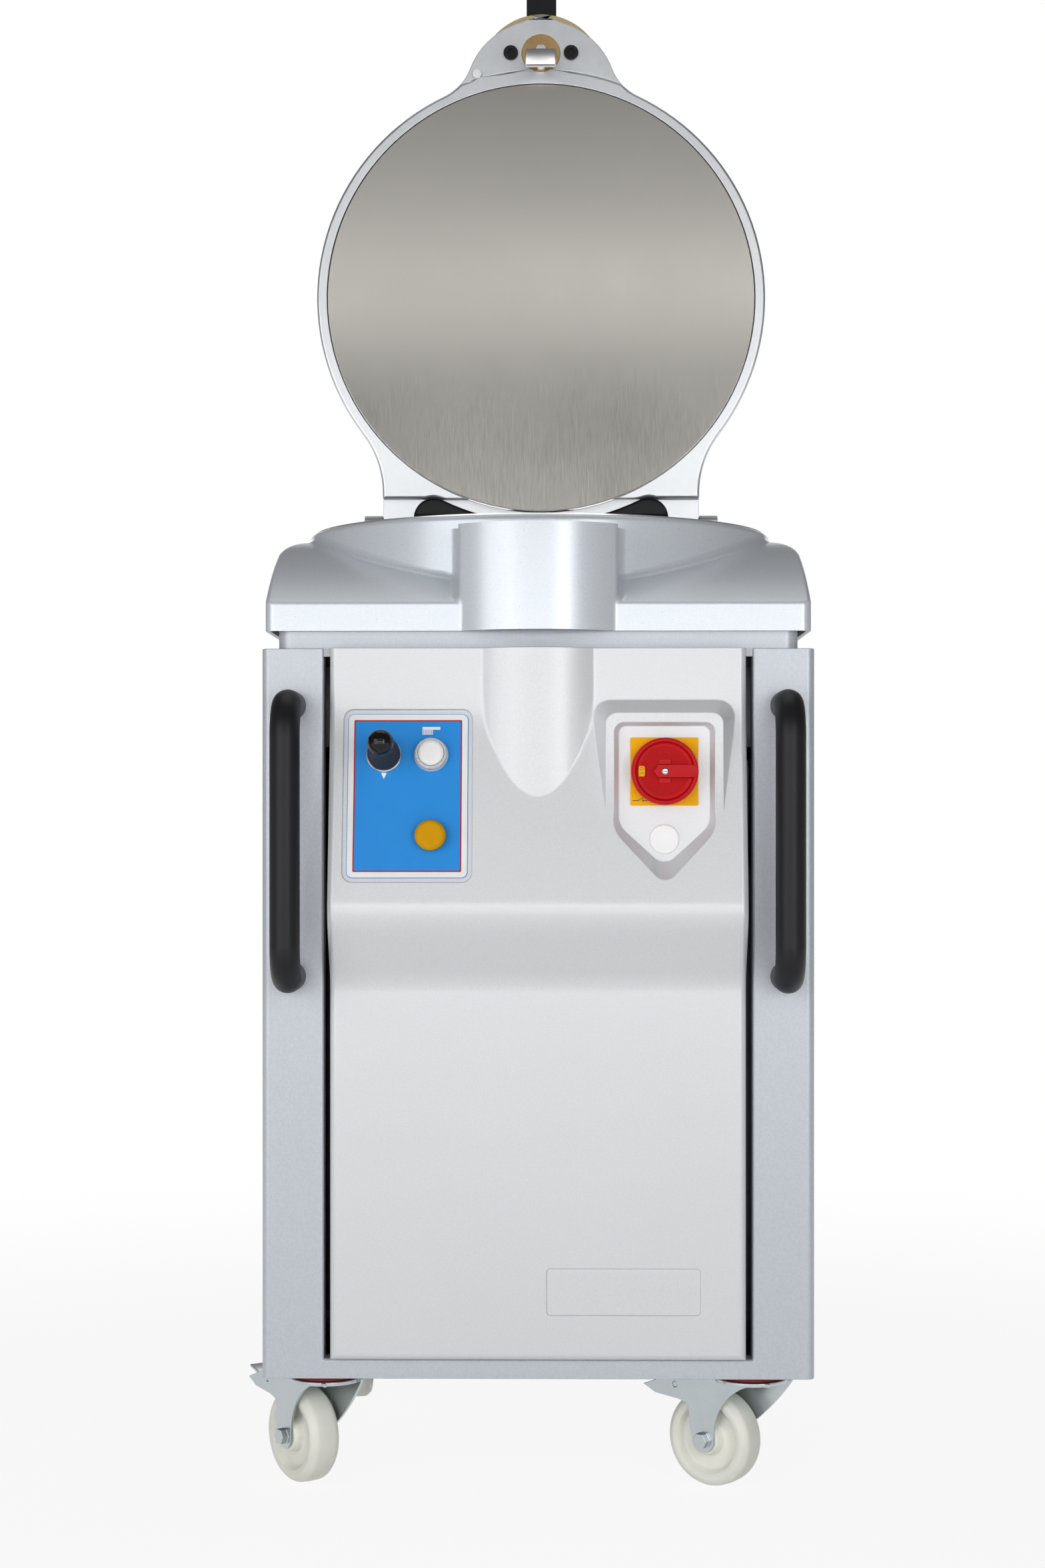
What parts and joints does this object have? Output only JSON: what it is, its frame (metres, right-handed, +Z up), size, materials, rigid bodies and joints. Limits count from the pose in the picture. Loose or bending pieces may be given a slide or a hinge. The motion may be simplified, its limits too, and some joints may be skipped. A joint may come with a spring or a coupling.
{
  "type": "dough divider",
  "caption": "Castor-mounted hydraulic dough divider with a round basin, hinged open lid with lever lock, knife grid, press, console with joystick and two side handles.",
  "frame": {"origin": "on the floor, under the axis of the round basin", "axes": "+X to the machine's right as seen from the front, +Y to the rear, +Z up"},
  "size_m": [0.5905, 0.7489, 1.8808],
  "materials": {
    "cabinet_paint": "satin blue-grey paint",
    "cover_paint": "light silver paint with a fine orange-peel texture",
    "steel": "brushed stainless",
    "frame_steel": "grey primer",
    "cast_alloy": "machined and shot-blasted casting",
    "bronze": "turned brass",
    "zinc_yellow": "yellow zinc plate",
    "zinc": "bright zinc plate",
    "black_satin": "satin black",
    "blue_print": "printed film",
    "white_plastic": "gloss",
    "amber_plastic": "translucent gloss",
    "red_plastic": "satin gloss",
    "yellow_plastic": "satin gloss",
    "wheel_plastic": "cream nylon",
    "seal_red": "moulded"
  },
  "bodies": {
    "cabinet": {"cabinet_shell": "cabinet_paint", "rear_panel": "cabinet_paint", "rear_screws": "zinc", "base_frame": "frame_steel", "frame_posts": "frame_steel", "deck_plate": "frame_steel", "neck_band": "cabinet_paint", "top_cover": "cover_paint", "latch_bracket": "zinc", "basin": "steel", "main_cylinder": "frame_steel", "knife_cylinders": "frame_steel", "hydraulic_tank": "frame_steel", "pump_motor": "frame_steel", "valve_block": "zinc", "hydraulic_pipes": "zinc", "control_box": "frame_steel", "front_cover": "cover_paint", "control_plate": "blue_print", "control_bases": "white_plastic", "switch_plate": "yellow_plastic", "switch_body": "black_satin", "blank_plug": "white_plastic", "handles": "black_satin", "m8_bolts": "zinc", "hinge_blocks": "zinc", "hinge_bushes": "bronze", "castor_plates": "zinc", "castor_seals": "seal_red"},
    "lid": {"lid_casting": "cast_alloy", "lid_disc": "steel", "lock_bush": "bronze", "lid_screws": "black_satin", "lid_plug": "white_plastic", "hinge_pin": "steel", "hinge_cover": "black_satin"},
    "lock": {"lock_tongue": "zinc", "lock_hub": "zinc_yellow", "lock_lever": "black_satin", "lever_grip": "black_satin"},
    "press": {"press_segments": "steel", "press_plate": "frame_steel", "piston_rod": "steel"},
    "knife": {"knife_grid": "steel", "knife_carrier": "steel"},
    "joystick": {"joystick_lever": "black_satin"},
    "white_push": {"white_button": "white_plastic"},
    "amber_push": {"amber_button": "amber_plastic"},
    "knob": {"switch_knob": "red_plastic"},
    "front_left_swivel": {"front_left_fork": "zinc"},
    "front_left_roller": {"front_left_wheel": "wheel_plastic"},
    "front_left_pedal": {"front_left_brake_pedal": "zinc"},
    "front_right_swivel": {"front_right_fork": "zinc"},
    "front_right_roller": {"front_right_wheel": "wheel_plastic"},
    "front_right_pedal": {"front_right_brake_pedal": "zinc"},
    "rear_left_swivel": {"rear_left_fork": "zinc"},
    "rear_left_roller": {"rear_left_wheel": "wheel_plastic"},
    "rear_right_swivel": {"rear_right_fork": "zinc"},
    "rear_right_roller": {"rear_right_wheel": "wheel_plastic"}
  },
  "joints": [
    {"name": "lid_hinge", "type": "hinge", "parent": "cabinet", "child": "lid", "pos_m": [0, 0.275, 1.05], "axis": [1, 0, 0], "range_deg": [0, 90], "stiffness_Nm_per_rad": 40, "springref_deg": -28.65},
    {"name": "lock_turn", "type": "hinge", "parent": "lid", "child": "lock", "pos_m": [0, 0.24, 1.6208], "axis": [0, 1, 0], "range_deg": [0, 60]},
    {"name": "press_slide", "type": "slide", "parent": "cabinet", "child": "press", "axis": [0, 0, 1], "range_m": [0, 0.108]},
    {"name": "knife_slide", "type": "slide", "parent": "cabinet", "child": "knife", "axis": [0, 0, 1], "range_m": [0, 0.108]},
    {"name": "joystick_tilt", "type": "hinge", "parent": "cabinet", "child": "joystick", "pos_m": [-0.1546, -0.30513, 0.7595], "axis": [1, 0, 0], "range_deg": [-18, 18], "stiffness_Nm_per_rad": 4},
    {"name": "white_press", "type": "slide", "parent": "cabinet", "child": "white_push", "axis": [0, 0.9799, -0.1994], "range_m": [0, 0.004], "stiffness_N_per_m": 400, "springref_m": -0.003},
    {"name": "amber_press", "type": "slide", "parent": "cabinet", "child": "amber_push", "axis": [0, 0.9799, -0.1994], "range_m": [0, 0.004], "stiffness_N_per_m": 400, "springref_m": -0.003},
    {"name": "switch_turn", "type": "hinge", "parent": "cabinet", "child": "knob", "pos_m": [0.127, -0.312, 0.744], "axis": [0, 1, 0], "range_deg": [0, 90]},
    {"name": "front_left_swivel_turn", "type": "hinge", "parent": "cabinet", "child": "front_left_swivel", "pos_m": [-0.221, -0.22, 0.122], "axis": [0, 0, 1], "continuous": true},
    {"name": "front_left_wheel_spin", "type": "hinge", "parent": "front_left_swivel", "child": "front_left_roller", "pos_m": [-0.24745, -0.18359, 0.05], "axis": [0.809, 0.5878, 0], "continuous": true},
    {"name": "front_left_brake", "type": "hinge", "parent": "front_left_swivel", "child": "front_left_pedal", "pos_m": [-0.26802, -0.15528, 0.104], "axis": [0.809, 0.5878, 0], "range_deg": [-8, 0], "stiffness_Nm_per_rad": 2, "springref_deg": 5.73},
    {"name": "front_right_swivel_turn", "type": "hinge", "parent": "cabinet", "child": "front_right_swivel", "pos_m": [0.221, -0.22, 0.122], "axis": [0, 0, 1], "continuous": true},
    {"name": "front_right_wheel_spin", "type": "hinge", "parent": "front_right_swivel", "child": "front_right_roller", "pos_m": [0.18459, -0.19355, 0.05], "axis": [0.5878, 0.809, 0], "continuous": true},
    {"name": "front_right_brake", "type": "hinge", "parent": "front_right_swivel", "child": "front_right_pedal", "pos_m": [0.15628, -0.17298, 0.104], "axis": [0.5878, 0.809, 0], "range_deg": [-8, 0], "stiffness_Nm_per_rad": 2, "springref_deg": 5.73},
    {"name": "rear_left_swivel_turn", "type": "hinge", "parent": "cabinet", "child": "rear_left_swivel", "pos_m": [-0.221, 0.19, 0.122], "axis": [0, 0, 1], "continuous": true},
    {"name": "rear_left_wheel_spin", "type": "hinge", "parent": "rear_left_swivel", "child": "rear_left_roller", "pos_m": [-0.221, 0.235, 0.05], "axis": [1, 0, 0], "continuous": true},
    {"name": "rear_right_swivel_turn", "type": "hinge", "parent": "cabinet", "child": "rear_right_swivel", "pos_m": [0.221, 0.19, 0.122], "axis": [0, 0, 1], "continuous": true},
    {"name": "rear_right_wheel_spin", "type": "hinge", "parent": "rear_right_swivel", "child": "rear_right_roller", "pos_m": [0.23036, 0.23402, 0.05], "axis": [0.9781, -0.2079, 0], "continuous": true}
  ]
}
